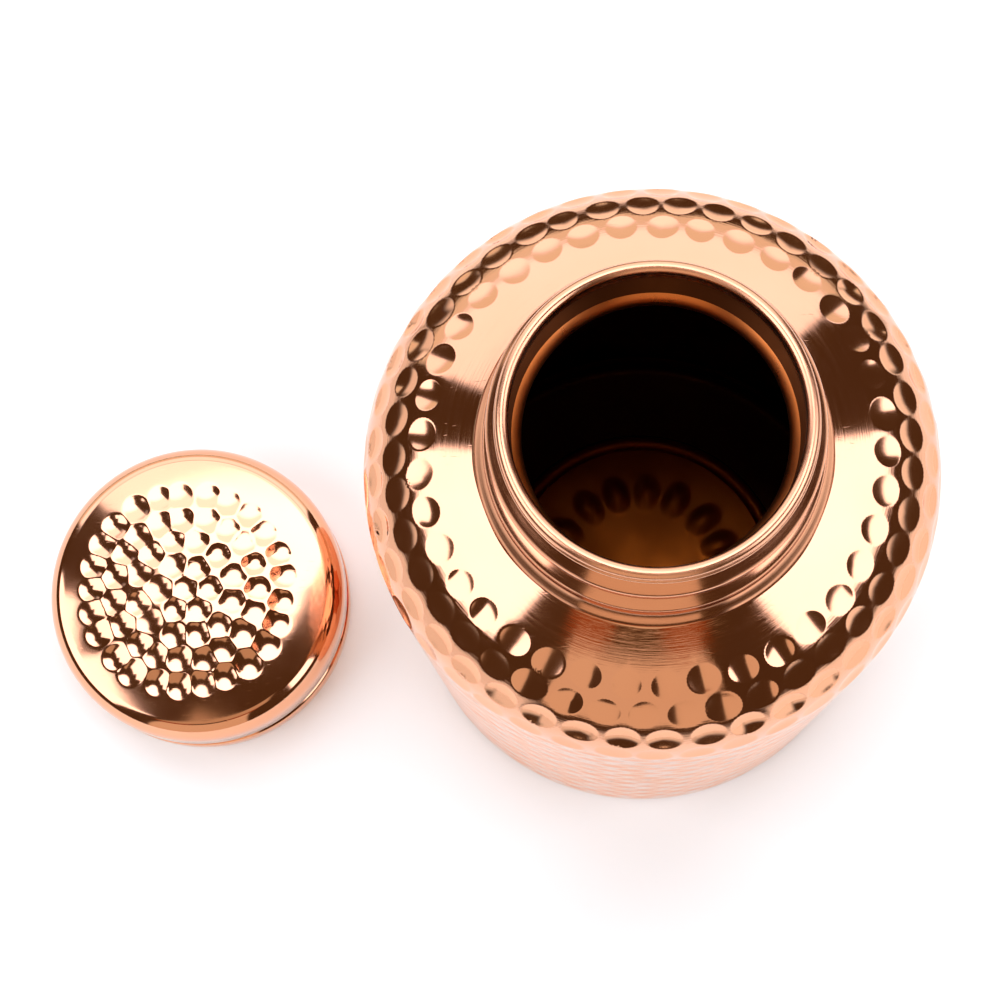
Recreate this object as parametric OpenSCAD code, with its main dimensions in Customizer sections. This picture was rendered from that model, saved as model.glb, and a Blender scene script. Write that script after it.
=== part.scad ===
// Hammered copper water bottle with its push-on cap standing beside it.
// Units are millimetres. The origin is the centre of the bottle's base, +Z is up.

/* [Bottle body] */
// Height of the bottle from its base to the top of its lip
bottle_h = 210; // [190:5:240]
// Outer radius of the body where the wall meets the shoulder
body_r = 57.5; // [56:0.5:62]
// Outer radius of the body at its base
base_r = 56; // [55:0.5:56]
// Radius of the round edge between the wall and the shoulder
shoulder_edge_r = 25; // [20:1:28]
// Slope of the shoulder below the horizontal, in degrees
shoulder_slope = 24; // [18:1:28]
// Thickness of the copper sheet
sheet_t = 1; // [0.8:0.1:1.2]

/* [Neck and lip] */
// Height of the lip above the foot of the neck
neck_h = 30; // [30:1:34]
// Radius of the mouth, and of the straight bore through the lip ring
mouth_r = 27; // [26:0.5:27]
// Radius of the round wire-like bead on the lip
lip_bead_r = 1.25; // [1:0.05:1.4]
// Outer radius of the upper ridge of the neck
upper_ridge_r = 31.5; // [31:0.1:31.8]
// Outer radius of the lower ridge of the neck
lower_ridge_r = 32.5; // [32.2:0.1:32.8]
// Outer radius of the groove between the two ridges
groove_r = 26.4; // [26:0.1:28]
// Outer radius of the flared foot of the neck
neck_foot_r = 34.4; // [34:0.1:35]

/* [Base] */
// Radius of the circular stiffening bead pressed up in the base
base_bead_r = 34.3; // [25:0.1:40]
// Height of that bead above the floor
base_bead_h = 2.2; // [1.8:0.1:3]

/* [Cap] */
// Distance of the cap's axis from the bottle's axis along X
cap_x = -109.2; // [-140:0.1:-100]
// Distance of the cap's axis from the bottle's axis along Y
cap_y = -6.4; // [-20:0.1:20]
// Height of the cap
cap_h = 27.8; // [27:0.1:30]
// Outer radius of the cap's wall
cap_r = 36.3; // [35.8:0.1:36.8]
// Radius of the round edge between the cap's top and wall
cap_edge_r = 5.5; // [4:0.5:6]
// Height of the snap groove's centre above the cap's lower edge
snap_z = 8.9; // [8:0.1:10]
// Depth of the snap groove in the cap's wall
snap_depth = 4.2; // [4:0.1:4.4]
// Thickness of the silicone gasket
gasket_t = 2; // [1.5:0.1:2.5]

/* [Hidden] */

$fn = 96;
arc_steps = 16;
copper = [0.83, 0.50, 0.34];
bright_copper = [0.93, 0.62, 0.46];
satin_copper = [0.78, 0.47, 0.33];
braze_alloy = [0.86, 0.72, 0.50];
silicone = [0.90, 0.89, 0.86];

// Foot of the body wall: straight and upright, so that the base plate's flange seats in it
wall_foot_h = 10;
wall_lip_round = 0.4;

// Shoulder: a cone that the round edge meets at a tangent
foot_z = bottle_h - neck_h;
edge_x = body_r - shoulder_edge_r;
tangent_r = edge_x + shoulder_edge_r * sin(shoulder_slope);
edge_z = shoulder_z(tangent_r) - shoulder_edge_r * cos(shoulder_slope);
shoulder_hole_r = neck_foot_r - 4.4;

// Neck: depths below the lip's top, and the radii there. A land is half a ridge's straight length
lip_web_depth = 4;
collar_depth = 3.3;
collar_r = 0.75;
collar_x = mouth_r + 2.15;
recess_r = mouth_r + 1.5;
recess_depth = 5.5;
upper_ridge_depth = 10.5;
groove_depth = 17;
lower_ridge_depth = 23.5;
waist_depth = 25.5;
waist_r = lower_ridge_r - 0.3;
flare_depth = 28.8;
upper_land = 1;
lower_land = 0.5;
foot_step = 0.7;
neck_seat_r = neck_foot_r - 3.4;
joint_foot_r = neck_foot_r + 1.2;

// Base plate: a disc with a corner and a flange that fits inside the body wall
flange_r = base_r - sheet_t;
corner_r = 3;
flange_h = 8;

// Braze ring in the groove between the base plate's corner and the body wall
base_joint_low = 0.3;
base_joint_high = 1.6;
base_joint_w = 1.7;

// Cap: slope of its crown at the edge, hem of its lower edge, and the snap groove's half width
crown_slope = 9;
hem_r = 0.9;
snap_half_w = 3;
cap_edge_x = cap_r - cap_edge_r;
crown_r = cap_edge_x + cap_edge_r * sin(crown_slope);
crown = crown_r * tan(crown_slope) / 2;
cap_edge_z = cap_h - crown - cap_edge_r * cos(crown_slope);

// Gasket: a flat ring under the cap's top
gasket_in_r = 25.5;
gasket_out_r = 30.5;
gasket_gap = 0.45;
gasket_top = cap_h - crown - sheet_t - gasket_gap;

// Height of the shoulder's outer cone at radius r
function shoulder_z(r) = foot_z - (r - neck_foot_r) * tan(shoulder_slope);

// Smooth step from a to b as t goes from 0 to 1
function ease(a, b, t) = a + (b - a) * (1 - cos(180 * t)) / 2;

// Points of a smooth step between two [radius, depth] pairs, without its first point
function step_points(from, to, steps) =
    [for (i = [1:steps]) [ease(from[0], to[0], i / steps), from[1] + (to[1] - from[1]) * i / steps]];

// Points of an arc about [x, z] from angle a to angle b
function arc_points(x, z, r, a, b, steps) =
    [for (i = [0:steps]) [x + r * cos(a + (b - a) * i / steps), z + r * sin(a + (b - a) * i / steps)]];

// Outer outline of the neck as [radius, depth below the lip's top]
function neck_outline() = concat(
    [[recess_r, lip_web_depth], [recess_r, recess_depth]],
    step_points([recess_r, recess_depth], [upper_ridge_r, upper_ridge_depth - upper_land], 8),
    [[upper_ridge_r, upper_ridge_depth + upper_land]],
    step_points([upper_ridge_r, upper_ridge_depth + upper_land], [groove_r, groove_depth], 9),
    step_points([groove_r, groove_depth], [lower_ridge_r, lower_ridge_depth - lower_land], 9),
    [[lower_ridge_r, lower_ridge_depth + lower_land]],
    step_points([lower_ridge_r, lower_ridge_depth + lower_land], [waist_r, waist_depth], 3),
    step_points([waist_r, waist_depth], [neck_foot_r - foot_step, flare_depth], 4));

// Turns an outline of [radius, depth] points into [radius, height] points, moved inwards by inset
function neck_points(inset) = [for (p = neck_outline()) [p[0] - inset, bottle_h - p[1]]];

function reversed(list) = [for (i = [len(list) - 1:-1:0]) list[i]];

// Outer outline of the cap's wall from its hem up to its edge, as [radius, height], moved in by inset
function cap_wall_points(inset) = [for (p = concat(
    [[cap_r, hem_r], [cap_r, snap_z - snap_half_w]],
    step_points([cap_r, snap_z - snap_half_w], [cap_r - snap_depth, snap_z], 7),
    step_points([cap_r - snap_depth, snap_z], [cap_r, snap_z + snap_half_w], 7))) [p[0] - inset, p[1]]];

// Crown of the cap's top from its edge in to its axis, lowered by inset
function cap_crown_points(inset) =
    [for (i = [1:8]) let (r = crown_r * (1 - i / 8))
        [r, cap_h - crown * pow(r / crown_r, 2) - inset]];

function cap_points(inset) = concat(
    cap_wall_points(inset),
    arc_points(cap_edge_x, cap_edge_z, cap_edge_r - inset, 0, 90 - crown_slope, 8),
    cap_crown_points(inset));

// Body wall, round edge and shoulder, spun from one sheet
module body_shell() {
    outer = concat(
        [[base_r - wall_lip_round, 0], [base_r, wall_lip_round], [base_r, wall_foot_h]],
        arc_points(edge_x, edge_z, shoulder_edge_r, 0, 90 - shoulder_slope, arc_steps),
        [[shoulder_hole_r, shoulder_z(shoulder_hole_r)]]);
    inner = concat(
        [[base_r - sheet_t, 0], [base_r - sheet_t, wall_foot_h]],
        arc_points(edge_x, edge_z, shoulder_edge_r - sheet_t, 0, 90 - shoulder_slope, arc_steps),
        [[shoulder_hole_r, shoulder_z(shoulder_hole_r) - sheet_t / cos(shoulder_slope)]]);
    color(copper)
        rotate_extrude()
            polygon(concat(outer, reversed(inner)));
}

// Pressed bottom disc with its stiffening bead and the flange that fits inside the wall
module base_plate() {
    color(satin_copper)
        rotate_extrude()
            difference() {
                union() {
                    square([flange_r - corner_r, sheet_t]);
                    intersection() {
                        translate([base_bead_r, 0]) circle(base_bead_h);
                        square([flange_r, base_bead_h + sheet_t]);
                    }
                    intersection() {
                        translate([flange_r - corner_r, corner_r]) circle(corner_r);
                        translate([flange_r - corner_r, 0]) square([corner_r, corner_r]);
                    }
                    translate([flange_r - sheet_t, corner_r])
                        square([sheet_t, flange_h - corner_r]);
                }
                translate([base_bead_r, 0]) circle(base_bead_h - sheet_t);
                translate([flange_r - corner_r, corner_r]) circle(corner_r - sheet_t);
            }
}

// Braze ring that seals the base plate into the body wall
module base_joint() {
    color(braze_alloy)
        rotate_extrude()
            difference() {
                translate([flange_r - base_joint_w, base_joint_low])
                    square([base_joint_w, base_joint_high - base_joint_low]);
                translate([flange_r - corner_r, corner_r]) circle(corner_r);
            }
}

// Rolled neck with two ridges, a groove between them and a flared foot on the shoulder
module neck_tube() {
    color(satin_copper)
        rotate_extrude()
            polygon(concat(
                neck_points(0),
                [[neck_foot_r, foot_z], [neck_seat_r, shoulder_z(neck_seat_r)]],
                reversed(neck_points(sheet_t))));
}

// Braze fillet between the foot of the neck and the shoulder
module neck_joint() {
    color(braze_alloy)
        rotate_extrude()
            polygon([
                [neck_foot_r - foot_step, bottle_h - flare_depth],
                [neck_foot_r, foot_z],
                [joint_foot_r, shoulder_z(joint_foot_r)]]);
}

// Lip: a round bead over a thin collar, with the straight bore of the mouth
module lip_ring() {
    color(bright_copper)
        rotate_extrude()
            union() {
                translate([mouth_r + lip_bead_r, bottle_h - lip_bead_r]) circle(lip_bead_r);
                translate([collar_x, bottle_h - collar_depth]) circle(collar_r);
                translate([mouth_r, bottle_h - lip_web_depth])
                    square([collar_x - mouth_r, lip_web_depth - lip_bead_r]);
            }
}

// Cap: crowned top, round edge, wall with a snap groove, and a hemmed lower edge
module cap_shell() {
    color(copper)
        translate([cap_x, cap_y, 0])
            rotate_extrude()
                union() {
                    polygon(concat(cap_points(0), reversed(cap_points(sheet_t))));
                    translate([cap_r - hem_r, hem_r]) circle(hem_r);
                }
}

// Silicone sealing ring under the cap's top
module cap_gasket() {
    color(silicone)
        translate([cap_x, cap_y, 0])
            rotate_extrude()
                translate([gasket_in_r, gasket_top - gasket_t])
                    square([gasket_out_r - gasket_in_r, gasket_t]);
}

body_shell();
base_plate();
base_joint();
neck_tube();
neck_joint();
lip_ring();
cap_shell();
cap_gasket();
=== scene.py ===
import math

import bpy
import numpy as np
from mathutils import Matrix, Vector
from mathutils.geometry import delaunay_2d_cdt


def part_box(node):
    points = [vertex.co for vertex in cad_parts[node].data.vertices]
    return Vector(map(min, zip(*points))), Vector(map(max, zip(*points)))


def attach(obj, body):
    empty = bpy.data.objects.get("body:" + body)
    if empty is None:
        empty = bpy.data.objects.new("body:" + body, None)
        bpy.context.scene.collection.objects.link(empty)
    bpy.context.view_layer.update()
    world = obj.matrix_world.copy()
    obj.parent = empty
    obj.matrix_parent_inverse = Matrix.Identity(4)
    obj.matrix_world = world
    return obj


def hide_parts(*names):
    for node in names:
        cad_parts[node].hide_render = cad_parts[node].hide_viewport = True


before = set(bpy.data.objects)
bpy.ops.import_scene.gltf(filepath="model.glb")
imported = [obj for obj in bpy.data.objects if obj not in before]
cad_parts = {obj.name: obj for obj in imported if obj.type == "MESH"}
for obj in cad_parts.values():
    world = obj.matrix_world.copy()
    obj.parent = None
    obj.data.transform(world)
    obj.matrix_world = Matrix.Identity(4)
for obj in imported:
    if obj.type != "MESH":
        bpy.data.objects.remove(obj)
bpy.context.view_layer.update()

# ---------------------------------------------------------------- sizes, in millimetres
MM = 0.001
SHEET = 1.0                 # thickness of the copper sheet


def node_box(node):
    """Lowest and highest corner of a CAD node, in millimetres."""
    return [np.array(corner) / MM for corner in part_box(node)]


BODY_HIGH = node_box("body_shell")[1]
LIP_HIGH = node_box("lip_ring")[1]
CAP_LOW, CAP_HIGH = node_box("cap_shell")
GASKET_LOW, GASKET_HIGH = node_box("cap_gasket")
JOINT_LOW, JOINT_HIGH = node_box("base_joint")

# Bottle body: the same outline as the CAD node, whose box gives its size
BODY_R = BODY_HIGH[0]
BASE_R = 56.0
WALL_FOOT = 10.0            # height up to which the wall is straight
WALL_ROUND = 0.4
EDGE_R = 25.0               # round edge between the wall and the shoulder
SLOPE = math.radians(24)
LIP_TOP = LIP_HIGH[2]
NECK_H = 30.0
FOOT_Z = LIP_TOP - NECK_H
FOOT_R = 34.4               # foot of the neck
HOLE_R = FOOT_R - 4.4       # hole under the neck
EDGE_X = BODY_R - EDGE_R
SHOULDER_R = EDGE_X + EDGE_R * math.sin(SLOPE)      # where the round edge meets the shoulder
SHOULDER_DOME = 0.0045      # how fast the shoulder falls below its cone towards the neck

# Neck and lip: outer radii and depths below the lip's top. A land is half a ridge's straight length
MOUTH_R = 27.0
LIP_BEAD_R = 1.25
COLLAR_R = 0.68
COLLAR_DEPTH = 3.3
WEB_DEPTH = 4.0
RECESS_R = 28.5
RECESS_DEPTH = 5.5
UPPER_RIDGE_R = 31.5
UPPER_RIDGE_DEPTH = 10.5
UPPER_LAND = 1.0
GROOVE_R = 26.0
GROOVE_DEPTH = 17.8
LOWER_RIDGE_R = 32.5
LOWER_RIDGE_DEPTH = 23.5
LOWER_LAND = 0.5
WAIST_R = 32.15
WAIST_DEPTH = 26.0

# Base plate
FLANGE_R = BASE_R - SHEET
FLANGE_TOP = 8.0
CORNER_R = 3.0

# Cap
CAP_X, CAP_Y = (CAP_LOW[:2] + CAP_HIGH[:2]) / 2
CAP_H = CAP_HIGH[2]
CAP_R = CAP_HIGH[0] - CAP_X
CAP_EDGE_R = 4.0            # where the crown turns over
CAP_SIDE_R = 8.0            # below that, down to the wall
CAP_EDGE_TURN = 50.0        # slope in degrees where one radius takes over from the other
CROWN_SLOPE = math.radians(9)
HEM_R = 0.9

# Floor
FLOOR_R = 300.0
FLOOR_GLOW = 0.12           # strength of its own light

ROUND_STEPS = 240           # vertices round every large ring
ABOUT_A_TURN = 6.28         # random angles are drawn up to this, in radians
rng = np.random.default_rng(7)

# Places in a piece's list of materials
OUTSIDE = 0
INSIDE = 1
IN_MARKS = 2
GROOVE_BAND = 2


# ---------------------------------------------------------------- outlines
def arc(x, z, r, start, end, steps):
    """Points of an arc about (x, z), from start to end in degrees."""
    a = np.radians(np.linspace(start, end, steps + 1))
    return [(x + r * math.cos(t), z + r * math.sin(t)) for t in a]


def smooth_step(start, end, steps):
    """Points of a smooth step between two (radius, height) pairs, without its first point."""
    t = np.arange(1, steps + 1) / steps
    ease = (1 - np.cos(np.pi * t)) / 2
    radii = start[0] + (end[0] - start[0]) * ease
    heights = start[1] + (end[1] - start[1]) * t
    return list(zip(radii, heights))


def cone_z(r):
    """Height of the CAD shoulder's outer cone at radius r."""
    return FOOT_Z - (r - FOOT_R) * math.tan(SLOPE)


def shoulder_z(r):
    """Height of the shoulder's outside: on the cone at the round edge, and below it towards the neck."""
    return cone_z(r) - SHOULDER_DOME * (SHOULDER_R - r) ** 2


class Outline:
    """A line of (radius, height) points, read by the distance along it."""

    def __init__(self, points):
        self.points = np.array(points, float)
        steps = np.hypot(*np.diff(self.points, axis=0).T)
        self.along = np.concatenate([[0], np.cumsum(steps)])
        self.length = self.along[-1]

    def at(self, s):
        """Radius and height at distance s."""
        radius = np.interp(s, self.along, self.points[:, 0])
        return radius, np.interp(s, self.along, self.points[:, 1])

    def tangent(self, s, reach=0.15):
        """Direction of the line at distance s, smoothed over a short reach."""
        r0, z0 = self.at(np.clip(s - reach, 0, self.length))
        r1, z1 = self.at(np.clip(s + reach, 0, self.length))
        size = np.hypot(r1 - r0, z1 - z0)
        return (r1 - r0) / size, (z1 - z0) / size

    def where_radius(self, r):
        """Distance along the line of its last point that is at least r from the axis."""
        last = np.flatnonzero(self.points[:, 0] >= r)[-1]
        return self.along[last]


# ---------------------------------------------------------------- meshes
def make_mesh(name, verts_mm, faces, along, normals=None, hard_faces=(), offset=(0, 0, 0)):
    """A smooth-shaded mesh object from vertices in millimetres. Along is each vertex's distance along its
    outline, for the materials. The object can have its own vertex normals, and faces that stay flat."""
    mesh = bpy.data.meshes.new(name)
    placed = (np.asarray(verts_mm) + np.asarray(offset)) * MM
    mesh.from_pydata(placed.tolist(), [], faces)
    mesh.validate()
    mesh.polygons.foreach_set("use_smooth", np.ones(len(mesh.polygons), bool))
    layer = mesh.attributes.new("along", "FLOAT", "POINT")
    layer.data.foreach_set("value", np.asarray(along, np.float32))
    mesh.update()
    if normals is not None:
        corner_verts = np.zeros(len(mesh.loops), int)
        mesh.loops.foreach_get("vertex_index", corner_verts)
        corner_normals = np.asarray(normals)[corner_verts]
        for index in hard_faces:
            face = mesh.polygons[index]
            corner_normals[face.loop_start:face.loop_start + face.loop_total] = face.normal
        mesh.normals_split_custom_set(corner_normals.tolist())
    obj = bpy.data.objects.new(name, mesh)
    bpy.context.scene.collection.objects.link(obj)
    return obj


def ring_vertices(radius, height):
    """Vertices of one ring about the Z axis."""
    a = np.arange(ROUND_STEPS) * 2 * math.pi / ROUND_STEPS
    return np.stack([radius * np.cos(a), radius * np.sin(a), np.full(ROUND_STEPS, height)], axis=1)


def stitch(faces, ring_a, ring_b):
    """Adds quads between two rings of vertices, given by their first index. Returns the quads' indices."""
    first = len(faces)
    for k in range(ROUND_STEPS):
        n = (k + 1) % ROUND_STEPS
        faces.append((ring_a + k, ring_a + n, ring_b + n, ring_b + k))
    return range(first, len(faces))


def revolve(points, closed=True):
    """Vertices and quads of an outline turned about Z. If it is closed, its last point joins its first."""
    verts = np.concatenate([ring_vertices(r, z) for r, z in points])
    rows = len(points)
    faces = []
    for i in range(rows if closed else rows - 1):
        stitch(faces, i * ROUND_STEPS, ((i + 1) % rows) * ROUND_STEPS)
    return verts, faces


def turned_piece(name, points, offset=(0, 0, 0), wobble=0.0, seed=0):
    """A closed ring-shaped piece: an outline with its solid on the left, turned about the Z axis."""
    verts, faces = revolve(points)
    if wobble:
        verts = verts * wavy(verts, wobble, seed)[:, None]
    obj = make_mesh(name, verts, faces, np.repeat(Outline(points).along, ROUND_STEPS), offset=offset)
    mark_creases(obj, 40)
    return obj


def mark_creases(obj, degrees):
    """Marks edges sharper than an angle, so that smooth shading stops there."""
    obj.data.set_sharp_from_angle(angle=math.radians(degrees))


def wavy(verts, size_mm, seed):
    """A slow radial factor that keeps a hand-made ring from being perfectly round."""
    a = np.arctan2(verts[:, 1], verts[:, 0])
    r = np.maximum(np.hypot(verts[:, 0], verts[:, 1]), 1)
    draw = np.random.default_rng(seed)
    total = np.zeros(len(verts))
    for waves in (3, 5, 8, 13):
        total += np.cos(waves * a + draw.uniform(0, ABOUT_A_TURN)) * draw.uniform(0.3, 1) / 4
    return 1 - (1 + total) / 2 * size_mm / r


# ---------------------------------------------------------------- punch marks
RIM_SOFT = 0.12             # how softly a mark's rim rounds over, as a share of its depth
RIM_POLISH = 0.35           # polish just outside a mark, where 1 is inside it and 0 is far from it
RIM_REACH = 1.12            # where a mark ends, in radii from its middle


def bowl(q):
    """Depth of a punch mark, from 1 at its middle to 0 outside, and its slope, q radii from its middle."""
    x = 1 - q * q
    root = np.sqrt(x * x + RIM_SOFT ** 2)
    return (x + root) / 2, -q * (1 + x / root)


def swell(q):
    """Height of a soft mark that has no rim, at q radii from its middle."""
    return (1 - np.minimum(q, 1) ** 2) ** 2


def mark_rings(fine):
    """Rings of vertices in a mark, as shares of its radius, and how many vertices each has."""
    if fine:
        return (0.3, 0.55, 0.75, 0.88, 0.95, 1.0, 1.05, RIM_REACH), 28
    return (0.5, 0.84, 0.97, 1.07), 16


def marks_in_row(count, s, radius, depth, start, jitter, fine):
    """One row of punch marks round the body. Each is its angle, its distance along the outline, its radius,
    its depth, how oval it is and whether it is finely meshed."""
    row = []
    for k in range(count):
        angle = (k + start) * 2 * math.pi / count
        row.append((
            angle + rng.normal(0, jitter) / BODY_R,
            s + rng.normal(0, jitter * 0.8),
            radius * (1 + rng.normal(0, 0.025)),
            depth * (1 + rng.normal(0, 0.12)),
            1 + rng.normal(0, 0.03),
            fine,
        ))
    return row


def body_marks(outline):
    """All punch marks on the body, from the shoulder down over the edge and the wall."""
    first_row = outline.where_radius(45.0)
    marks = []
    # Rows on the round edge: number of marks, distance below the first row, radius and depth of a mark
    rows = [(37, 0.0, 3.12, 0.42), (41, 6.9, 3.4, 0.50), (41, 14.2, 3.6, 0.68), (42, 21.6, 3.65, 0.42)]
    for index, (count, down, radius, depth) in enumerate(rows):
        marks += marks_in_row(count, first_row - down, radius, depth, 0.5 * (index % 2), 0.28, True)
    wall_rows, wall_count, wall_mark_r, wall_mark_depth = 18, 42, 3.7, 0.32
    top, low = first_row - 29.2, 11.5
    for index in range(wall_rows):
        s = top + (low - top) * index / (wall_rows - 1)
        marks += marks_in_row(wall_count, s, wall_mark_r, wall_mark_depth, 0.5 * (index % 2), 0.5, False)
    return marks


def mark_points(outline, mark):
    """Points of one mark on the unrolled skin: x, y, height, slope along x, slope along y and polish."""
    angle, s, radius, deep, squash, fine = mark
    rings, around = mark_rings(fine)
    stretch = BODY_R / float(outline.at(s)[0])
    turn = rng.uniform(0, ABOUT_A_TURN)
    rows = [(angle * BODY_R, s, -deep * float(bowl(0.0)[0]), 0.0, 0.0, 1.0)]
    for index, q in enumerate(rings):
        level, steep = bowl(q)
        for k in range(around):
            a = turn + (k + 0.5 * (index % 2)) * 2 * math.pi / around
            oval = 1 + (squash - 1) * math.cos(2 * (a - turn))
            reach = q * radius * oval
            rise = -deep * steep / (radius * oval)
            rows.append((
                angle * BODY_R + reach * math.cos(a) * stretch,
                s + reach * math.sin(a),
                -deep * level,
                rise * math.cos(a),
                rise * math.sin(a),
                1.0 if q < 1.0 else RIM_POLISH,
            ))
    return rows


def plain_points(outline, marks, period, lattice):
    """Points of a triangular lattice on the unrolled skin, where no punch mark is."""
    mark_x, mark_y, mark_r, shrink = np.array([
        (m[0] * BODY_R % period, m[1], m[2], BODY_R / float(outline.at(m[1])[0])) for m in marks]).T
    clear = mark_r * RIM_REACH + 0.5
    lattice_rows = int(outline.length / lattice)
    count = int(period / lattice)
    rows = []
    for i in range(1, lattice_rows):
        y = outline.length * i / lattice_rows
        for k in range(count):
            x = period * (k + 0.5 * (i % 2)) / count
            dx = (np.abs(x - mark_x + period / 2) % period - period / 2) / shrink
            if np.all(np.hypot(dx, y - mark_y) > clear):
                rows.append((x, y, 0.0, 0.0, 0.0, 0.0))
    return rows


def hammered_skin(outline, marks, lattice=2.4):
    """A surface of revolution with punch marks: its vertices, triangles, normals, distances along the
    outline and polish. Its first ROUND_STEPS vertices are its lower edge, and as many again its upper edge."""
    period = 2 * math.pi * BODY_R
    edges = (0.0, outline.length)
    rows = [(period * k / ROUND_STEPS, y, 0.0, 0.0, 0.0, 0.0) for y in edges for k in range(ROUND_STEPS)]
    for mark in marks:
        rows += mark_points(outline, mark)
    rows += plain_points(outline, marks, period, lattice)
    x, along, height, slope_x, slope_y, polish = np.array(rows).T
    flat = np.stack([x % period, along], axis=1)
    faces = triangles_round(flat, period)
    r, z = outline.at(along)
    tr, tz = outline.tangent(along)
    a = flat[:, 0] / BODY_R
    out = np.stack([tz * np.cos(a), tz * np.sin(a), -tr], axis=1)
    up = np.stack([tr * np.cos(a), tr * np.sin(a), tz], axis=1)
    side = np.stack([-np.sin(a), np.cos(a), np.zeros(len(a))], axis=1)
    base = np.stack([r * np.cos(a), r * np.sin(a), z], axis=1)
    verts = base + out * height[:, None]
    normals = out - side * slope_x[:, None] - up * slope_y[:, None]
    normals /= np.linalg.norm(normals, axis=1)[:, None]
    return verts, faces, normals, along, polish


def triangles_round(flat, period, margin=14.0):
    """Delaunay triangles of points on a band that closes on itself after one period along x. Points near
    its seam are repeated on the other side, and tiny nudges keep four points off one circle."""
    nudge = np.random.default_rng(3).uniform(-0.003, 0.003, flat.shape)
    edge = (flat[:, 1] <= flat[:, 1].min()) | (flat[:, 1] >= flat[:, 1].max())
    nudge[edge, 1] = 0
    nudged = flat + nudge
    index = np.arange(len(flat))
    right, left = nudged[:, 0] < margin, nudged[:, 0] > period - margin
    spread = np.concatenate([nudged, nudged[right] + [period, 0], nudged[left] - [period, 0]])
    source = np.concatenate([index, index[right], index[left]])
    made = delaunay_2d_cdt([Vector(p) for p in spread], [], [], 0, 1e-9, True)
    order = np.array([o[0] for o in made[3]])
    tri = order[np.array(made[2])]
    middle = spread[tri][:, :, 0].mean(axis=1)
    kept = tri[(middle >= 0) & (middle < period)]
    flip = np.cross(spread[kept[:, 1]] - spread[kept[:, 0]], spread[kept[:, 2]] - spread[kept[:, 0]]) < 0
    kept[flip] = kept[flip][:, ::-1]
    return [tuple(int(v) for v in t) for t in source[kept]]


def disc_skin(radius, height, lattice):
    """Vertices and triangles of a nearly flat disc, whose height is a function of (x, y). The first
    ROUND_STEPS vertices are its edge."""
    edge = ring_vertices(radius, 0.0)[:, :2]
    reach = int(radius / lattice) + 1
    grid = []
    for i in range(-2 * reach, 2 * reach + 1):
        y = i * lattice * math.sqrt(3) / 2
        for k in range(-reach, reach + 1):
            grid.append(((k + 0.5 * (i % 2)) * lattice, y))
    grid = np.array(grid)
    grid = grid[np.hypot(grid[:, 0], grid[:, 1]) < radius - lattice * 0.6]
    flat = np.concatenate([edge, grid])
    made = delaunay_2d_cdt([Vector(p) for p in flat], [], [], 0, 1e-9, True)
    order = np.array([o[0] for o in made[3]])
    faces = [tuple(int(order[v]) for v in t) for t in made[2]]
    x, y = flat[:, 0], flat[:, 1]
    return np.stack([x, y, height(x, y)], axis=1), faces


def merged_disc(faces, inner_start, edge_start, flipped):
    """A disc's faces, renumbered: its edge is the ring at edge_start, and the rest starts at inner_start."""
    def place(v):
        return edge_start + v if v < ROUND_STEPS else inner_start + v - ROUND_STEPS

    made = [tuple(place(v) for v in face) for face in faces]
    return [face[::-1] for face in made] if flipped else made


def pressed_field(marks, shape):
    """A function of (x, y) that says how deep overlapping marks press: the deepest wins, with a soft ridge.
    Each mark is (x, y, half its length, half its width, the angle of its length, depth)."""
    power = 4.5             # how sharp the ridges between marks are
    reach = 1.4             # where a mark ends, in radii

    def field(x, y):
        total = np.zeros(len(x))
        for mx, my, length, width, angle, deep in marks:
            dx, dy = x - mx, y - my
            u = dx * math.cos(angle) + dy * math.sin(angle)
            v = -dx * math.sin(angle) + dy * math.cos(angle)
            q = np.hypot(u / length, v / width)
            level = np.where(q < reach, shape(np.minimum(q, reach)), 0.0)
            total += (deep * level) ** power
        return total ** (1 / power)
    return field


# ---------------------------------------------------------------- the bottle
def body_outlines():
    """Outer and inner outline of the body shell, from its lower edge up to the hole under the neck."""
    edge_z = cone_z(SHOULDER_R) - EDGE_R * math.cos(SLOPE)
    sweep = 90 - math.degrees(SLOPE)
    outer = arc(BASE_R - WALL_ROUND, WALL_ROUND, WALL_ROUND, -90, 0, 4) + [(BASE_R, WALL_FOOT)]
    outer += arc(EDGE_X, edge_z, EDGE_R, 0, sweep, 66)
    outer += [(r, shoulder_z(r)) for r in np.linspace(SHOULDER_R, HOLE_R, 12)[1:]]
    inner = [(BASE_R - SHEET, 0.0), (BASE_R - SHEET, WALL_FOOT)]
    inner += arc(EDGE_X, edge_z, EDGE_R - SHEET, 0, sweep, 22)
    inner_r = EDGE_X + (EDGE_R - SHEET) * math.sin(SLOPE)
    sheet_z = SHEET / math.cos(SLOPE)
    inner += [(r, shoulder_z(r) - sheet_z) for r in np.linspace(inner_r, HOLE_R, 6)[1:]]
    return Outline(outer), Outline(inner)


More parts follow.
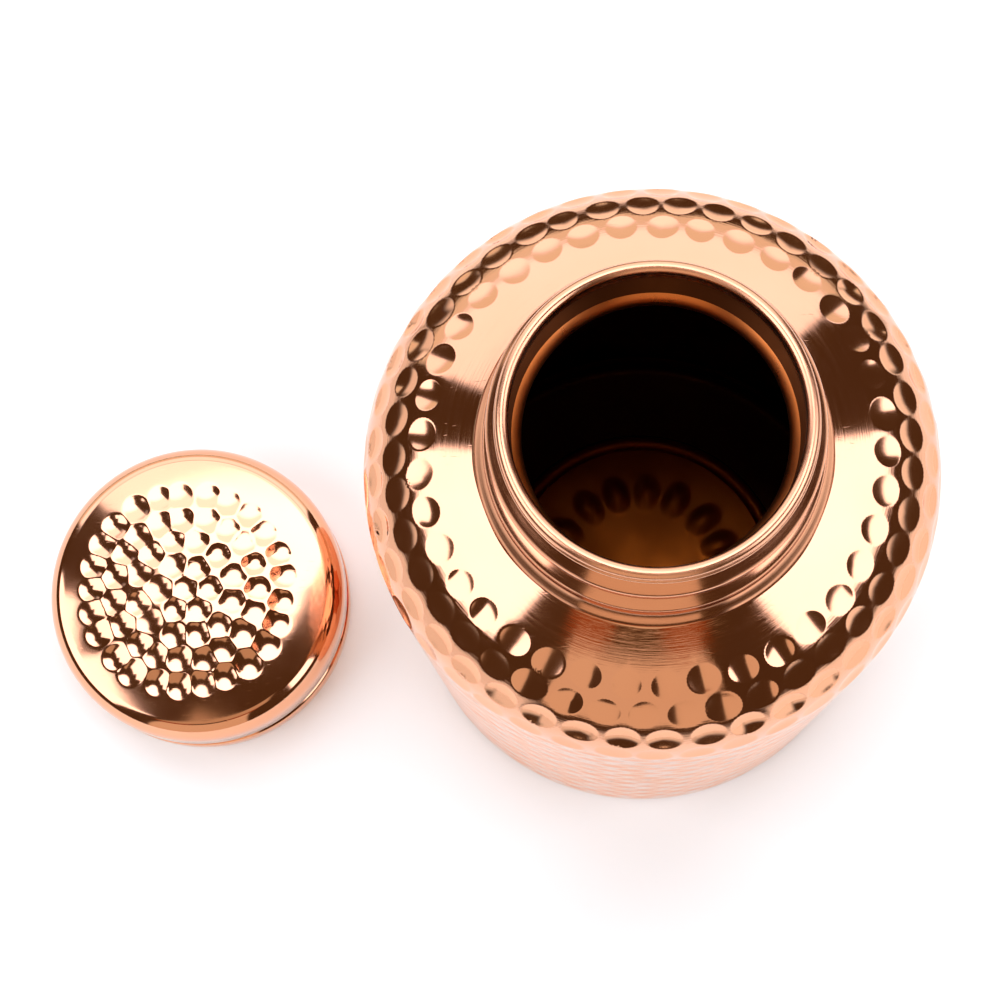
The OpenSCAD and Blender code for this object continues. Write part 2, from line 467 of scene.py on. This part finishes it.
def make_body_shell():
    """The hammered wall and the smooth shoulder, as one sheet with an outside and an inside."""
    outer, inner = body_outlines()
    verts, faces, normals, along, polish = hammered_skin(outer, body_marks(outer))
    skin_faces = len(faces)
    inner_rings = 40
    rows = np.linspace(0, inner.length, inner_rings)
    radii, heights = inner.at(rows)
    inner_r, inner_z = inner.tangent(rows)
    angles = np.arange(ROUND_STEPS) * 2 * math.pi / ROUND_STEPS
    starts = []
    all_verts, all_normals = [verts], [normals]
    for r, z, tr, tz in zip(radii, heights, inner_r, inner_z):
        starts.append(len(verts) + len(starts) * ROUND_STEPS)
        all_verts.append(ring_vertices(r, z))
        all_normals.append(np.stack(
            [-tz * np.cos(angles), -tz * np.sin(angles), np.full(ROUND_STEPS, tr)], axis=1))
    for low, high in zip(starts, starts[1:]):
        stitch(faces, high, low)
    hard = list(stitch(faces, starts[0], 0)) + list(stitch(faces, ROUND_STEPS, starts[-1]))
    count = sum(len(v) for v in all_verts)
    obj = make_mesh(
        "body_shell_hammered", np.concatenate(all_verts), faces,
        np.pad(along, (0, count - len(along))), normals=np.concatenate(all_normals), hard_faces=hard)
    # A triangle lies in a mark if two or more of its corners do and the third is no further than the rim
    in_mark = polish[np.array(faces[:skin_faces])].sum(axis=1) > 2.3
    # The shell's inside gets the darkened copper, which is painted shade
    places = np.full(len(obj.data.polygons), INSIDE, np.int32)
    places[:skin_faces] = np.where(in_mark, IN_MARKS, OUTSIDE)
    obj.data.polygons.foreach_set("material_index", places)
    return obj


def neck_outline(inset=0.0):
    """The neck's wall from its flared foot up to its top, as (radius, height), moved in by inset."""
    def at(radius, depth):
        return radius, LIP_TOP - depth

    flare = [(34.3, 29.7), (33.8, 29.05), (33.3, 28.45), (32.85, 27.9), (32.5, 27.35), (32.25, 26.7)]
    points = [at(radius, depth) for radius, depth in flare] + [at(WAIST_R, WAIST_DEPTH)]
    points += smooth_step(points[-1], at(LOWER_RIDGE_R, LOWER_RIDGE_DEPTH + LOWER_LAND), 6)
    points.append(at(LOWER_RIDGE_R, LOWER_RIDGE_DEPTH - LOWER_LAND))
    points += smooth_step(points[-1], at(GROOVE_R, GROOVE_DEPTH), 18)
    points += smooth_step(points[-1], at(UPPER_RIDGE_R, UPPER_RIDGE_DEPTH + UPPER_LAND), 18)
    points.append(at(UPPER_RIDGE_R, UPPER_RIDGE_DEPTH - UPPER_LAND))
    points += smooth_step(points[-1], at(RECESS_R, RECESS_DEPTH), 14)
    points.append(at(RECESS_R, WEB_DEPTH))
    return [(r - inset, h) for r, h in points]


def make_neck_tube():
    """The rolled neck: two ridges with a groove between them, on a foot flared over the shoulder."""
    seat_r, toe_r = FOOT_R - 3.4, FOOT_R - 0.1
    outline = [(seat_r, shoulder_z(seat_r)), (toe_r, shoulder_z(toe_r)), (FOOT_R, FOOT_Z + 0.05)]
    outline += neck_outline()
    outside_rows = len(outline) - 1
    outline += neck_outline(SHEET)[::-1]
    obj = turned_piece("neck_tube_rolled", outline)
    # Where the groove is narrowest it gets its own copper, on both sides of the sheet
    # Inside, this band is a painted highlight along the inner ridge; outside, it is darker than the rest of the
    # neck
    band_r, band_top, band_foot = GROOVE_R + 1.3, GROOVE_DEPTH - 2.8, GROOVE_DEPTH + 0.4
    in_groove_band = np.array([r < band_r and band_top < LIP_TOP - h < band_foot for r, h in outline])
    # The neck's inside rows get the darkest copper, which is painted shade
    side = np.where(np.arange(len(outline)) > outside_rows, INSIDE, OUTSIDE)
    rows = np.arange(len(obj.data.polygons)) // ROUND_STEPS
    obj.data.polygons.foreach_set("material_index", np.where(in_groove_band, GROOVE_BAND, side)[rows].astype(np.int32))
    return obj


def make_lip_ring():
    """The round bead of the lip over its thin collar, with the straight bore of the mouth."""
    z = LIP_TOP
    outline = [(MOUTH_R, z - WEB_DEPTH), (MOUTH_R + 1.7, z - WEB_DEPTH)]
    outline += arc(MOUTH_R + 2.1, z - COLLAR_DEPTH, COLLAR_R, -95, 80, 12)
    outline += [(MOUTH_R + 1.75, z - 2.45)]
    outline += arc(MOUTH_R + LIP_BEAD_R, z - LIP_BEAD_R, LIP_BEAD_R, -50, 180, 30)
    outline += [(MOUTH_R, z - 2.6)]
    return turned_piece("lip_ring_bead", outline)


def make_neck_joint():
    """The braze fillet round the foot of the neck, slightly uneven, as a flame leaves it."""
    toe_r = FOOT_R + 1.0
    outline = [(FOOT_R - 0.9, FOOT_Z + 0.1), (toe_r, shoulder_z(toe_r) - 0.15)]
    outline += [(FOOT_R + 0.5, FOOT_Z - 0.35), (FOOT_R + 0.15, FOOT_Z), (FOOT_R - 0.2, FOOT_Z + 0.45)]
    return turned_piece("neck_joint_braze", outline, wobble=0.12, seed=4)


def make_base_joint():
    """The braze ring in the groove under the body, between the base plate and the wall."""
    # The base plate's round corner passes the ring's top and bottom at these angles
    top_angle, low_angle = -27.8, -64.2
    outline = [(FLANGE_R, JOINT_LOW[2]), (FLANGE_R, JOINT_HIGH[2])]
    outline += arc(FLANGE_R - CORNER_R, CORNER_R, CORNER_R, top_angle, low_angle, 6)
    return turned_piece("base_joint_braze", outline, wobble=0.05, seed=9)


def floor_marks():
    """The ring of long punch marks round the middle of the base, pointing outwards."""
    count, radius = 17, 21.6
    half_length, half_width, mark_height = 5.6, 3.9, 0.95
    marks = []
    for k in range(count):
        a = k * 2 * math.pi / count + rng.normal(0, 0.015)
        height = mark_height + rng.normal(0, 0.06)
        marks.append((radius * math.cos(a), radius * math.sin(a), half_length, half_width, a, height))
    return marks


def make_base_plate():
    """The pressed bottom: a flange, a corner, a round bead and a ring of marks pressed up in the middle."""
    bead_x, bead_h, middle, bevel = 34.3, 2.2, 28.0, 1.2
    inset = bead_h - SHEET
    corner_x = FLANGE_R - CORNER_R
    outline = [(middle, 0.0), (bead_x - inset - 0.2, 0.0)]
    outline += arc(bead_x, 0.0, inset, 180, 0, 12) + [(corner_x, 0.0)]
    outline += arc(corner_x, CORNER_R, CORNER_R, -90, 0, 12)[1:] + [(FLANGE_R, FLANGE_TOP)]
    outline += [(FLANGE_R - SHEET, FLANGE_TOP - bevel)]
    outline += arc(corner_x, CORNER_R, CORNER_R - SHEET, 0, -90, 12)
    lift = math.degrees(math.asin(SHEET / bead_h))
    outline += arc(bead_x, 0.0, bead_h, lift, 180 - lift, 16) + [(middle, SHEET)]
    verts, faces = revolve(outline, closed=False)
    press = pressed_field(floor_marks(), swell)
    lattice = 0.6
    upper, upper_faces = disc_skin(middle, lambda x, y: SHEET + press(x, y), lattice)
    lower, lower_faces = disc_skin(middle, press, lattice)
    faces += merged_disc(upper_faces, len(verts), (len(outline) - 1) * ROUND_STEPS, False)
    verts = np.concatenate([verts, upper[ROUND_STEPS:]])
    faces += merged_disc(lower_faces, len(verts), 0, True)
    verts = np.concatenate([verts, lower[ROUND_STEPS:]])
    radii = np.hypot(verts[:, 0], verts[:, 1])
    obj = make_mesh("base_plate_pressed", verts, faces, radii)
    mark_creases(obj, 45)
    # Outside the bead both sides of the plate get the wall's dark inside copper: painted shade where the plate
    # meets the wall
    painted_shade_r = bead_x + 0.7 * bead_h
    places = [INSIDE if radii[list(face)].min() > painted_shade_r else OUTSIDE for face in faces]
    obj.data.polygons.foreach_set("material_index", np.array(places, np.int32))
    return obj


# ---------------------------------------------------------------- the cap
def cap_marks():
    """Punch marks on the cap's top: one near its middle and rings round it, close enough to overlap."""
    middle_x, middle_y = -1.8, 0.4
    mark_r, mark_depth = 3.4, 0.4
    rings = [(5.9, 6), (11.8, 12), (17.7, 19), (23.6, 25)]      # radius of a ring and its number of marks
    marks = [(middle_x, middle_y, mark_r, mark_r, 0.0, mark_depth)]
    for ring, (radius, count) in enumerate(rings):
        for k in range(count):
            a = (k + 0.5 * (ring % 2)) * 2 * math.pi / count + rng.normal(0, 0.4) / radius
            r = radius + rng.normal(0, 0.35)
            size = mark_r * (1 + rng.normal(0, 0.04))
            depth = mark_depth * (1 + rng.normal(0, 0.1))
            x, y = middle_x + r * math.cos(a), middle_y + r * math.sin(a)
            marks.append((x, y, size, size * 0.96, a, depth))
    return marks


def cap_wall(inset=0.0):
    """The cap's wall from above its hem up to its round edge, with the snap groove, moved in by inset."""
    groove_z, depth, half = 8.9, 4.2, 3.0
    points = [(CAP_R, groove_z - half)]
    points += smooth_step(points[-1], (CAP_R - depth, groove_z), 12)
    points += smooth_step(points[-1], (CAP_R, groove_z + half), 12)
    return [(r - inset, h) for r, h in points]


def make_cap_shell():
    """The hammered cap: top, round edge, wall with its snap groove, and a hem round the lower edge."""
    turn = math.radians(CAP_EDGE_TURN)
    side_x = CAP_R - CAP_SIDE_R
    edge_x = side_x + (CAP_SIDE_R - CAP_EDGE_R) * math.sin(turn)
    top_r = edge_x + CAP_EDGE_R * math.sin(CROWN_SLOPE)
    drop = top_r * math.tan(CROWN_SLOPE) / 2
    edge_z = CAP_H - drop - CAP_EDGE_R * math.cos(CROWN_SLOPE)
    side_z = edge_z - (CAP_SIDE_R - CAP_EDGE_R) * math.cos(turn)
    corner, sweep = 90 - CAP_EDGE_TURN, 90 - math.degrees(CROWN_SLOPE)

    def crown(x, y):
        return CAP_H - drop * (np.hypot(x, y) / top_r) ** 2

    outline = arc(CAP_R - HEM_R, HEM_R, HEM_R, 80, 360, 20) + cap_wall()
    outline += arc(side_x, side_z, CAP_SIDE_R, 0, corner, 12)
    outline += arc(edge_x, edge_z, CAP_EDGE_R, corner, sweep, 14)[1:]
    inner = arc(edge_x, edge_z, CAP_EDGE_R - SHEET, sweep, corner, 8)
    inner += arc(side_x, side_z, CAP_SIDE_R - SHEET, corner, 0, 8)[1:] + cap_wall(SHEET)[::-1]
    inner += [(CAP_R - SHEET, 2 * HEM_R + 0.3)]
    verts, faces = revolve(inner + outline, closed=False)
    top_edge = (len(inner + outline) - 1) * ROUND_STEPS
    press = pressed_field(cap_marks(), lambda q: bowl(q)[0])
    top_lattice, under_lattice = 0.42, 1.2
    upper, upper_faces = disc_skin(top_r, lambda x, y: crown(x, y) - press(x, y), top_lattice)
    under_r = inner[0][0]
    under_z = inner[0][1] - float(crown(under_r, 0))
    under_press = 0.8       # how much of a mark's depth shows through the sheet
    lower, lower_faces = disc_skin(
        under_r, lambda x, y: crown(x, y) + under_z - under_press * press(x, y), under_lattice)
    faces += merged_disc(upper_faces, len(verts), top_edge, False)
    verts = np.concatenate([verts, upper[ROUND_STEPS:]])
    faces += merged_disc(lower_faces, len(verts), 0, True)
    verts = np.concatenate([verts, lower[ROUND_STEPS:]])
    radii = np.hypot(verts[:, 0], verts[:, 1])
    obj = make_mesh("cap_shell_hammered", verts, faces, radii, offset=(CAP_X, CAP_Y, 0))
    mark_creases(obj, 60)
    return obj


def make_cap_gasket():
    """The silicone ring under the cap's top, with rounded corners and two sealing grooves below."""
    low, high = GASKET_LOW[2], GASKET_HIGH[2]
    outer = GASKET_HIGH[0] - CAP_X
    inner = outer - 5.0
    round_r, groove_depth, from_edge = 0.35, 0.3, 1.7
    groove = [(-0.45, 0.0), (-0.2, groove_depth), (0.2, groove_depth), (0.45, 0.0)]
    outline = arc(inner + round_r, low + round_r, round_r, 180, 270, 5)
    for middle in (inner + from_edge, outer - from_edge):
        outline += [(middle + x, low + z) for x, z in groove]
    outline += arc(outer - round_r, low + round_r, round_r, 270, 360, 5)
    outline += arc(outer - round_r, high - round_r, round_r, 0, 90, 5)
    outline += arc(inner + round_r, high - round_r, round_r, 90, 180, 5)
    return turned_piece("cap_gasket_ring", outline, offset=(CAP_X, CAP_Y, 0))


# ---------------------------------------------------------------- materials
class Graph:
    """Short calls for building one material's nodes."""

    def __init__(self, name):
        self.material = bpy.data.materials.new(name)
        self.material.use_nodes = True
        self.tree = self.material.node_tree
        self.shader = self.tree.nodes["Principled BSDF"]

    def add(self, kind, inputs=None, **settings):
        made = self.tree.nodes.new("ShaderNode" + kind)
        for key, value in settings.items():
            setattr(made, key, value)
        for key, value in (inputs or {}).items():
            if hasattr(value, "is_output"):
                self.tree.links.new(value, made.inputs[key])
            else:
                made.inputs[key].default_value = value
        return made

    def calc(self, operation, a, b=0.0, clamp=False):
        return self.add("Math", {0: a, 1: b}, operation=operation, use_clamp=clamp).outputs[0]

    def mix(self, factor, a, b):
        made = self.add("Mix", {"Factor": factor}, data_type="RGBA")
        for socket, value in ((made.inputs[6], a), (made.inputs[7], b)):
            if hasattr(value, "is_output"):
                self.tree.links.new(value, socket)
            else:
                socket.default_value = (*value, 1)
        return made.outputs[2]

    def remap(self, value, low, high, to_low, to_high):
        return self.add("MapRange", {0: value, 1: low, 2: high, 3: to_low, 4: to_high}).outputs[0]

    def noise(self, vector, scale, detail=2.0, roughness=0.5):
        return self.add("TexNoise", {
            "Vector": vector, "Scale": scale, "Detail": detail, "Roughness": roughness}).outputs["Fac"]

    def link(self, output, socket):
        self.tree.links.new(output, self.shader.inputs[socket])

    def set(self, values):
        for socket, value in values.items():
            self.shader.inputs[socket].default_value = value


def turned_coordinates(g, centre_mm, per_turn, per_mm):
    """Coordinates that change slowly round the axis and fast along the outline, and plain local ones."""
    place = g.add("TexCoord").outputs["Object"]
    middle = (centre_mm[0] * MM, centre_mm[1] * MM, 0)
    local = g.add("VectorMath", {0: place, 1: middle}, operation="SUBTRACT").outputs[0]
    level = g.add("VectorMath", {0: local, 1: (1, 1, 0)}, operation="MULTIPLY").outputs[0]
    unit = g.add("VectorMath", {0: level}, operation="NORMALIZE").outputs[0]
    parts = g.add("SeparateXYZ", {0: unit}).outputs
    along = g.add("Attribute", attribute_name="along").outputs["Fac"]
    return g.add("CombineXYZ", {
        0: g.calc("MULTIPLY", parts[0], per_turn), 1: g.calc("MULTIPLY", parts[1], per_turn),
        2: g.calc("MULTIPLY", along, per_mm)}).outputs[0], local


def copper(name, colour, tarnish_and_shade, rough, brushed=0.0, anisotropic=0.0, centre=(0, 0), smudge=0.25,
           edge_tint=(1, 1, 1), wear=1.0):
    """Copper with slow colour changes, smudges that change its gloss, fine scratches and turning lines."""
    g = Graph(name)
    lines, local = turned_coordinates(g, centre, per_turn=3.0, per_mm=3.0)
    slow = g.noise(local, 38.0, 3.0)
    specks = g.noise(local, 900.0, 2.0, 0.6)
    stain = g.remap(specks, 0.73, 0.80, 0.0, 0.35 * wear)
    blend = g.calc("ADD", g.remap(slow, 0.35, 0.75, 0.0, 0.6), stain, clamp=True)
    # The second tone is tarnish on bright copper, and deeper painted shade on the darkened copper
    g.link(g.mix(blend, colour, tarnish_and_shade), "Base Color")
    smear = g.noise(local, 60.0, 4.0, 0.65)
    gloss = g.remap(smear, 0.3, 0.7, rough * (1 - smudge), rough * (1 + smudge))
    turning = g.noise(lines, 1.0, 3.0, 0.6)
    height = g.calc("MULTIPLY", turning, brushed)
    if brushed:
        gloss = g.calc("ADD", gloss, g.remap(turning, 0.3, 0.7, -0.03, 0.05), clamp=True)
    scratch_lines = g.add("VectorMath", {0: local, 1: (260, 2600, 900)}, operation="MULTIPLY").outputs[0]
    scratch = g.remap(g.noise(scratch_lines, 1.0, 1.0), 0.70, 0.82, 0.0, 0.2 * wear)
    height = g.calc("SUBTRACT", height, scratch)
    bump = g.add("Bump", {"Strength": 0.6, "Distance": 0.00003, "Height": height})
    g.link(bump.outputs[0], "Normal")
    g.link(gloss, "Roughness")
    g.set({"Metallic": 1.0, "Specular Tint": (*edge_tint, 1), "Anisotropic": anisotropic})
    if anisotropic:
        g.set({"Anisotropic Rotation": 0.25})
        tangent = g.add("Tangent", direction_type="RADIAL", axis="Z")
        g.link(tangent.outputs[0], "Tangent")
    return g.material


def silicone(name):
    """Matt, slightly see-through silicone with fine dust in its surface."""
    g = Graph(name)
    place = g.add("TexCoord").outputs["Object"]
    grain = g.noise(place, 1400.0, 3.0)
    cloud = g.noise(place, 90.0, 2.0)
    g.link(g.mix(cloud, (0.86, 0.85, 0.81), (0.76, 0.75, 0.71)), "Base Color")
    g.link(g.remap(grain, 0.3, 0.7, 0.42, 0.58), "Roughness")
    bump = g.add("Bump", {"Strength": 0.3, "Distance": 0.00002, "Height": grain})
    g.link(bump.outputs[0], "Normal")
    g.set({"Subsurface Weight": 0.25, "Subsurface Radius": (0.002, 0.002, 0.0018)})
    return g.material


def paper_floor(name):
    """Plain white photographic paper with a faint tooth, which glows a little."""
    g = Graph(name)
    place = g.add("TexCoord").outputs["Object"]
    grain = g.noise(place, 700.0, 3.0)
    g.link(g.mix(grain, (0.93, 0.935, 0.91), (0.90, 0.905, 0.88)), "Base Color")
    g.set({"Roughness": 0.7, "Specular IOR Level": 0.2})
    g.set({"Emission Color": (0.85, 1, 1, 1), "Emission Strength": FLOOR_GLOW})
    return g.material


# Colours are linear reflectances: of the faces that are polished, and of darker ones that are painted shade
BRIGHT = (0.84, 0.42, 0.25)
SATIN = (0.82, 0.41, 0.25)
WARM = (0.80, 0.37, 0.21)
DEEP = (0.74, 0.31, 0.16)
BRAZE = (0.82, 0.42, 0.24)
BRAZE_DARK = (0.62, 0.30, 0.16)
SHADED_COPPER = (0.70, 0.165, 0.018)
SHADED_COPPER_DEEP = (0.56, 0.12, 0.012)
GROOVE_BAND_TONE = (0.58, 0.18, 0.05)
PAINTED_SHADE = (0.14, 0.042, 0.014)
PAINTED_SHADE_DEEP = (0.07, 0.020, 0.006)
PAINTED_SHADE_DEEPEST = (0.035, 0.009, 0.003)

# Reflectances at a grazing angle; the darker ones keep the painted shade dark there too
PALE_EDGE = (1, 0.86, 0.76)
GROOVE_BAND_EDGE = (0.55, 0.20, 0.05)
SHADED_COPPER_EDGE = (0.5, 0.17, 0.04)
PAINTED_SHADE_EDGE = (0.14, 0.05, 0.02)
PAINTED_SHADE_DEEP_EDGE = (0.10, 0.03, 0.01)

satin = copper("copper_satin", SATIN, WARM, 0.07, brushed=1.0, anisotropic=0.5)
punched = copper("copper_punched", BRIGHT, WARM, 0.11, smudge=0.35, edge_tint=PALE_EDGE)
# Darkened copper for the shell's inside and for the base plate beyond its bead: painted shade
inside = copper("copper_inside_painted_shade", PAINTED_SHADE, PAINTED_SHADE_DEEP, 0.5, edge_tint=PAINTED_SHADE_EDGE)
neck_copper = copper("copper_neck", WARM, DEEP, 0.15, brushed=0.3, anisotropic=0.6)
# The neck's inside is darker still: painted shade
neck_inside = copper("copper_neck_inside_painted_shade", PAINTED_SHADE_DEEP, PAINTED_SHADE_DEEPEST, 0.4, edge_tint=PAINTED_SHADE_DEEP_EDGE)
# The groove's band: a painted highlight on the inner ridge, and darker copper on the outside
groove_band_copper = copper("copper_groove_band", GROOVE_BAND_TONE, SHADED_COPPER, 0.28, edge_tint=GROOVE_BAND_EDGE)
lip_copper = copper("copper_lip", BRIGHT, WARM, 0.26, brushed=0.15)
# The base plate's copper is darker than bright copper: painted shade on its floor inside the bottle
base_copper = copper("copper_base", SHADED_COPPER, SHADED_COPPER_DEEP, 0.44, edge_tint=SHADED_COPPER_EDGE, wear=0.0)
cap_copper = copper("copper_cap", BRIGHT, WARM, 0.08, centre=(CAP_X, CAP_Y), smudge=0.35)
braze = copper("braze_alloy", BRAZE, BRAZE_DARK, 0.22, smudge=0.4)
silicone_white = silicone("silicone_white")


def finish_piece(obj, materials, body, node):
    """Gives a piece its materials and its body, and hides the CAD node that it replaces."""
    for material in materials:
        obj.data.materials.append(material)
    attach(obj, body)
    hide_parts(node)


finish_piece(make_body_shell(), [satin, inside, punched], "bottle", "body_shell")
finish_piece(make_base_plate(), [base_copper, inside], "bottle", "base_plate")
finish_piece(make_base_joint(), [braze], "bottle", "base_joint")
neck_materials = [neck_copper, neck_inside, groove_band_copper]
finish_piece(make_neck_tube(), neck_materials, "bottle", "neck_tube")
finish_piece(make_neck_joint(), [braze], "bottle", "neck_joint")
finish_piece(make_lip_ring(), [lip_copper], "bottle", "lip_ring")
finish_piece(make_cap_shell(), [cap_copper], "cap", "cap_shell")
finish_piece(make_cap_gasket(), [silicone_white], "gasket", "cap_gasket")


# ---------------------------------------------------------------- floor, light and camera
def make_floor():
    """A round sheet of paper under the bottle and its cap."""
    bpy.ops.mesh.primitive_circle_add(vertices=96, radius=FLOOR_R * MM, fill_type="NGON")
    floor = bpy.context.object
    floor.name = "floor"
    floor.data.materials.append(paper_floor("floor_paper"))


class Sky(Graph):
    """The room round the object: soft areas of light given by their direction."""

    def __init__(self, name):
        world = bpy.data.worlds.new(name)
        bpy.context.scene.world = world
        world.use_nodes = True
        self.tree = world.node_tree
        self.tree.nodes.clear()
        self.way = self.add("TexCoord").outputs["Generated"]
        parts = self.add("SeparateXYZ", {0: self.way}).outputs
        self.height = parts[2]
        level = self.add("VectorMath", {0: self.way, 1: (1, 1, 0)}, operation="MULTIPLY").outputs[0]
        self.level = self.add("VectorMath", {0: level}, operation="NORMALIZE").outputs[0]
        self.total = None

    def step(self, value, low, high):
        """0 below low, 1 above high and smooth between them."""
        made = self.add("MapRange", {0: value, 1: low, 2: high}, interpolation_type="SMOOTHERSTEP")
        return made.outputs[0]

    def near(self, way, towards, half, soft):
        """1 within half degrees of a direction, and 0 beyond a soft border."""
        dot = self.add("VectorMath", {0: way, 1: towards}, operation="DOT_PRODUCT").outputs["Value"]
        return self.step(dot, math.cos(math.radians(half + soft)), math.cos(math.radians(half - soft)))

    def include(self, weight, radiance, colour):
        """Adds a light area. Where two overlap, the brighter one is seen."""
        full = tuple(radiance * c for c in colour)
        light = self.add("VectorMath", {0: full, "Scale": weight}, operation="SCALE").outputs[0]
        if self.total is None:
            self.total = light
        else:
            self.total = self.add("VectorMath", {0: self.total, 1: light}, operation="MAXIMUM").outputs[0]

    def panel(self, azimuth, half, low, high, radiance, colour=(1, 1, 1), soft=4):
        """A panel from low to high elevation, within half degrees of its azimuth. Azimuth 0 is +X and 90 is
        +Y. Its border fades over soft degrees either way, or over a pair: at its sides, and above and below."""
        a = math.radians(azimuth)
        side_soft, soft = soft if isinstance(soft, tuple) else (soft, soft)
        weight = self.near(self.level, (math.cos(a), math.sin(a), 0), half, side_soft)
        sines = [math.sin(math.radians(e)) for e in (low - soft, low + soft, high - soft, high + soft)]
        if low > -90:
            weight = self.calc("MULTIPLY", weight, self.step(self.height, sines[0], sines[1]))
        if high < 90:
            above = self.step(self.height, sines[2], sines[3])
            weight = self.calc("MULTIPLY", weight, self.calc("SUBTRACT", 1.0, above))
        self.include(weight, radiance, colour)

    def round_panel(self, azimuth, elevation, half, radiance, colour=(1, 1, 1), soft=4):
        """A round panel about one direction."""
        a, e = math.radians(azimuth), math.radians(elevation)
        towards = (math.cos(a) * math.cos(e), math.sin(a) * math.cos(e), math.sin(e))
        self.include(self.near(self.way, towards, half, soft), radiance, colour)

    def finish(self, seen):
        """Shows one plain colour to the camera and the room to everything else."""
        out = self.add("OutputWorld")
        path = self.add("LightPath").outputs["Is Camera Ray"]
        colour = self.mix(path, self.total, seen)
        back = self.add("Background", {"Color": colour})
        self.tree.links.new(back.outputs[0], out.inputs[0])


def make_world():
    """Light areas behind, left, right and overhead, a dim one in front, and dark gaps between them."""
    sky = Sky("studio")
    cream = (1.0, 1.0, 1.1)
    warm = (1.0, 0.97, 0.84)
    tan = (1.0, 0.82, 0.64)
    light_brown = (1.0, 0.78, 0.56)
    brown = (1.0, 0.55, 0.25)
    orange = (1.0, 0.26, 0.01)
    # The dark room, which shows in the gaps
    sky.include(1.0, 0.085, brown)
    # Behind: each panel is brighter than the one below it
    sky.panel(97, 50, -3, 46, 1.05, warm, soft=1.5)
    sky.panel(97, 50, 14, 46, 1.8, cream, soft=(1.5, 8))
    sky.panel(88, 49, 46, 90, 2.1, cream, soft=(1.5, 4))
    sky.panel(88, 49, 62, 90, 3.5, cream, soft=(1.5, 8))
    # Left, with its upper edge raised towards the front, and right
    sky.panel(194, 29, 22, 64, 2.8, cream, soft=(1.5, 2))
    sky.panel(204, 19, 40, 69.5, 2.8, cream, soft=(1.5, 2))
    sky.panel(346, 31, 22, 60, 2.8, cream, soft=(1.5, 3))
    # In front: a dim panel for the shoulder and the neck, and one over it
    sky.panel(265, 23.5, -10, 51.5, 0.84, tan, soft=1.2)
    sky.panel(268, 32, 58, 77, 0.62, light_brown, soft=(3, 1.5))
    # Overhead, for the cap's top
    sky.round_panel(100, 80, 11.5, 3.5, cream, soft=2)
    # Two orange glints at the neck's foot
    sky.round_panel(246, 56.5, 5.5, 0.36, orange, soft=1.2)
    sky.round_panel(284, 56.5, 5.5, 0.36, orange, soft=1.2)
    # Light from under the horizon, for the lower wall
    sky.panel(190, 50, -90, -12, 1.05)
    sky.panel(350, 50, -90, -12, 1.25)
    sky.panel(90, 50, -90, -20, 1.35)
    sky.panel(270, 30, -90, -26, 1.0)
    sky.finish(seen=(1.0, 1.0, 1.0))


def make_camera():
    """The photograph's view: from above, a little in front of the bottle and to its left."""
    eye = Vector((-11.9, -99.2, 717.5))
    look = Vector((-0.0325, 0.1661, -1.0)).normalized()
    camera = bpy.data.cameras.new("camera")
    camera.sensor_width = 36.0
    camera.lens = 103.1
    obj = bpy.data.objects.new("camera", camera)
    obj.location = eye * MM
    right = look.cross(Vector((0, 1, 0))).normalized()
    obj.rotation_euler = Matrix((right, right.cross(look), -look)).transposed().to_euler()
    bpy.context.scene.collection.objects.link(obj)
    bpy.context.scene.camera = obj


make_floor()
make_world()
make_camera()
bpy.context.scene.view_settings.view_transform = "Standard"
